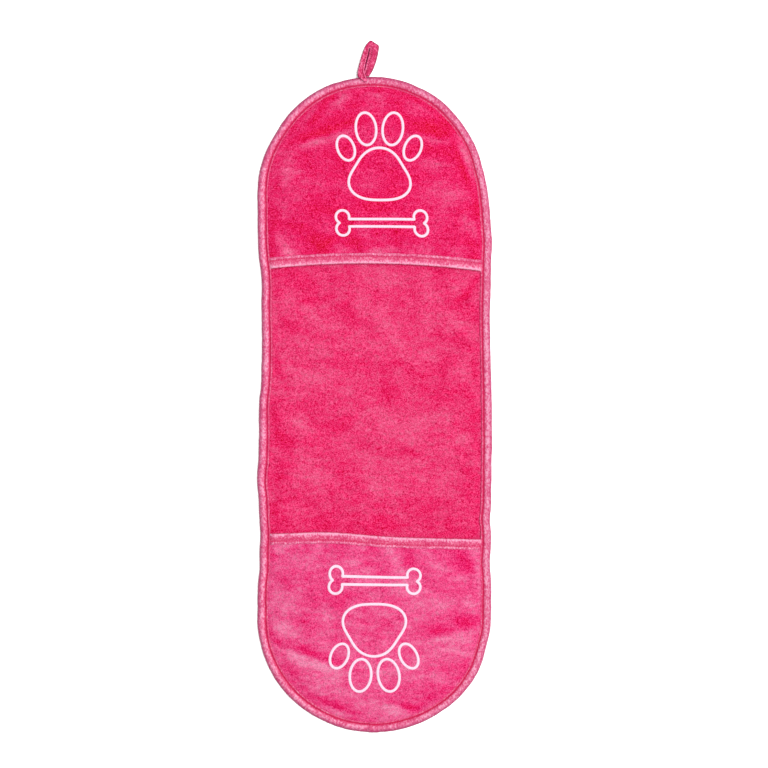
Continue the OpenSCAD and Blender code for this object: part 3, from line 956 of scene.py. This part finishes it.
def tape(name, groove, edge, dark, middle, light):
    """Folded satin tape: paler and glossier than the pile, ribbed, and dark where it's stitched."""
    made, tree, shader = new_material(name, 0.5, 0.02, 0.12)
    where = stretched(tree)
    blotches = cloud(tree, where, 60)
    ribs = cloud(tree, stretched(tree, 40, (1.2, 0.85, 1)), 430)
    fine = cloud(tree, where, 1000, 1)
    tone = weighed(tree, [(blotches, 0.45), (ribs, 1.35), (fine, 0.7)])
    # Painted shade darkens the groove, and the painted highlight lightens the roll's crest
    tone = maths(tree, "MULTIPLY_ADD", read_mark(tree, "groove_shade_crest_light"), -0.3, tone)
    colour = ramp(tree, tone, [(0.2, dark), (0.5, middle), (0.8, light)])
    # Mixes in the painted shade colours of the groove and of the outer edge
    for mark_name, shade in (("groove_shade_crest_light", groove), ("turned", edge)):
        inputs = {0: read_mark(tree, mark_name), 6: colour, 7: shade}
        colour = add(tree, "ShaderNodeMix", inputs, data_type="RGBA").outputs[2]
    tree.links.new(colour, shader.inputs["Base Color"])
    relief = bumped(tree, ribs, 0.6 * MM, 0.8)
    relief = bumped(tree, fine, 0.15 * MM, 0.6, relief)
    tree.links.new(relief, shader.inputs["Normal"])
    return made


def thread(name, dark, light, grain):
    """Twisted thread: fine slanting strands."""
    made, tree, shader = new_material(name, 0.6, 0.05, 0.08)
    strands = cloud(tree, stretched(tree, 50, (2.5, 0.6, 1)), grain)
    tree.links.new(ramp(tree, strands, [(0.3, dark), (0.6, light)]), shader.inputs["Base Color"])
    tree.links.new(bumped(tree, strands, 0.15 * MM, 0.5), shader.inputs["Normal"])
    return made


def surface():
    """A pale plain surface with a faint tooth."""
    made, tree, shader = new_material("pale_surface", 0.8, 0.0, 0.2)
    tone = cloud(tree, stretched(tree), 30)
    colour = ramp(tree, tone, [(0.2, (0.95, 0.95, 0.95, 1)), (0.8, (0.98, 0.98, 0.98, 1))])
    tree.links.new(colour, shader.inputs["Base Color"])
    return made


# ---- Putting it together ----

def finish_with(obj, material, slot, *nodes):
    """Gives a piece its material and lets it stand for CAD nodes; slot is not used."""
    obj.data.materials.append(material)
    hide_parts(*nodes)


def blend_by(obj, share):
    """Writes each point's share, from 0 to 1, into its X for a moment and bakes the piece's
    placement, then puts its points back as they were.
    """
    count = len(obj.data.vertices)
    shape = np.zeros(count * 3)
    obj.data.vertices.foreach_get("co", shape)
    along = np.zeros((count, 3))
    along[:, 0] = share
    obj.data.vertices.foreach_set("co", along.ravel())
    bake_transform(obj)
    obj.data.vertices.foreach_set("co", shape)
    obj.data.update()


def seam_share(plan):
    """0 where a pocket is sewn down and 1 where it can lift clear."""
    inset = edge_distance(plan[:, 0], plan[:, 1]) - (HALF_W - SEAM_R)
    return smoothstep(0, LIFT_REACH, inset)


# The second setting of each plush scales its wrinkles' painted light and shade
plush_look = plush("plush_look", lift=0.06, slope_shade=0.7, blue=0, mottle=1.0)
pocket_looks = {
    1: plush("upper_pocket_plush_look", lift=-0.06, slope_shade=1.5, blue=2, mottle=1.0),
    -1: plush("lower_pocket_plush_look", lift=0.18, slope_shade=1.3, blue=8, mottle=1.25),
}
# groove and edge are the colours of painted shade in the stitched groove and at the outer edge
tape_look = tape("binding_tape_look", groove=seen(220, 2, 80), edge=seen(166, 44, 94),
                 dark=seen(208, 58, 110), middle=seen(232, 102, 146), light=seen(250, 170, 200))
loop_look = tape("loop_tape_look", groove=seen(150, 6, 62), edge=seen(146, 26, 72),
                 dark=seen(186, 12, 78), middle=seen(216, 44, 104), light=seen(250, 128, 170))
sewing_look = thread("sewing_thread_look", seen(225, 50, 108), seen(252, 125, 170), 700)
# The edge's thread is a darker copy of the sewing thread: painted shade of its groove
shaded_edge_thread_look = thread("shaded_edge_sewing_thread_look", seen(206, 4, 70), seen(240, 62, 118), 700)
embroidery_look = thread("embroidery_thread_look", seen(244, 196, 222), seen(254, 234, 247), 900)

back = back_cloth()
finish_with(back, plush_look, "plush_cloth", "upper_back_panel", "lower_back_panel")
binding = edge_binding()
finish_with(binding, tape_look, "binding_tape", "upper_edge_binding", "lower_edge_binding")
stitches = edge_stitching()
finish_with(stitches, shaded_edge_thread_look, "sewing_thread",
            "upper_edge_stitching", "lower_edge_stitching")
for piece in (back, binding, stitches):
    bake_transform(piece)

join = binding_join()
finish_with(join, tape_look, "binding_tape", "binding_join")
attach(join, "lower_half")

for end, end_name in END_NAME.items():
    pocket, top_tree, plan = pocket_cloth(end)
    finish_with(pocket, pocket_looks[end], "plush_cloth",
                f"{end_name}_pocket_front", f"{end_name}_pocket_rim")
    mouth, mouth_plan = mouth_binding(end, top_tree)
    finish_with(mouth, tape_look, "binding_tape", f"{end_name}_mouth_binding")
    row = mouth_stitching(end, top_tree)
    finish_with(row, sewing_look, "sewing_thread", f"{end_name}_mouth_stitching")
    row_plan = np.array([v.co for v in row.data.vertices]) * end
    moving = [(pocket, plan), (mouth, mouth_plan), (row, row_plan)]
    for part, (line, line_plan) in embroidery(end, top_tree).items():
        finish_with(line, embroidery_look, "embroidery_thread", f"{end_name}_{part}")
        moving.append((line, line_plan))
    for piece, piece_plan in moving:
        blend_by(piece, seam_share(piece_plan))

loop = loop_tape()
finish_with(loop, loop_look, "binding_tape", "hanging_loop", "loop_tails")
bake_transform(loop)
loop_row = loop_stitching()
finish_with(loop_row, sewing_look, "sewing_thread", "loop_stitching")
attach(loop_row, "loop")
tack = loop_bartack()
finish_with(tack, sewing_look, "sewing_thread", "loop_bartack")
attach(tack, "upper_half")

# ---- Surface, light and camera ----

FLOOR = 20                      # metres from the middle to each side
corners = [(x * FLOOR, y * FLOOR, -0.5 * MM) for x, y in ((-1, -1), (1, -1), (1, 1), (-1, 1))]
below = make_object("surface_below", corners, [(0, 1, 2, 3)], smooth=False)
below.data.materials.append(surface())

world = bpy.data.worlds.new("studio")
world.use_nodes = True
sky = world.node_tree.nodes["Background"]
sky.inputs["Color"].default_value = (1, 1, 1, 1)
sky.inputs["Strength"].default_value = 0.80
bpy.context.scene.world = world

# One large soft lamp, a little to the right and towards the upper end, aimed at the towel's middle
light = bpy.data.lights.new("overhead", "AREA")
light.size = 5.0
light.energy = 714
lamp = bpy.data.objects.new("overhead", light)
lamp.location = (2.8, 0.88, 6.95)
lamp.rotation_euler = (-Vector(lamp.location)).to_track_quat("-Z", "Y").to_euler()
bpy.context.scene.collection.objects.link(lamp)

# Straight above, where the towel fills the frame as it does the photo
camera = bpy.data.cameras.new("camera")
camera.sensor_width = 36
camera.lens = 93.75
viewer = bpy.data.objects.new("camera", camera)
viewer.location = (0.0126, 0.0246, 2.4)
bpy.context.scene.collection.objects.link(viewer)
bpy.context.scene.camera = viewer
bpy.context.scene.view_settings.view_transform = "Standard"
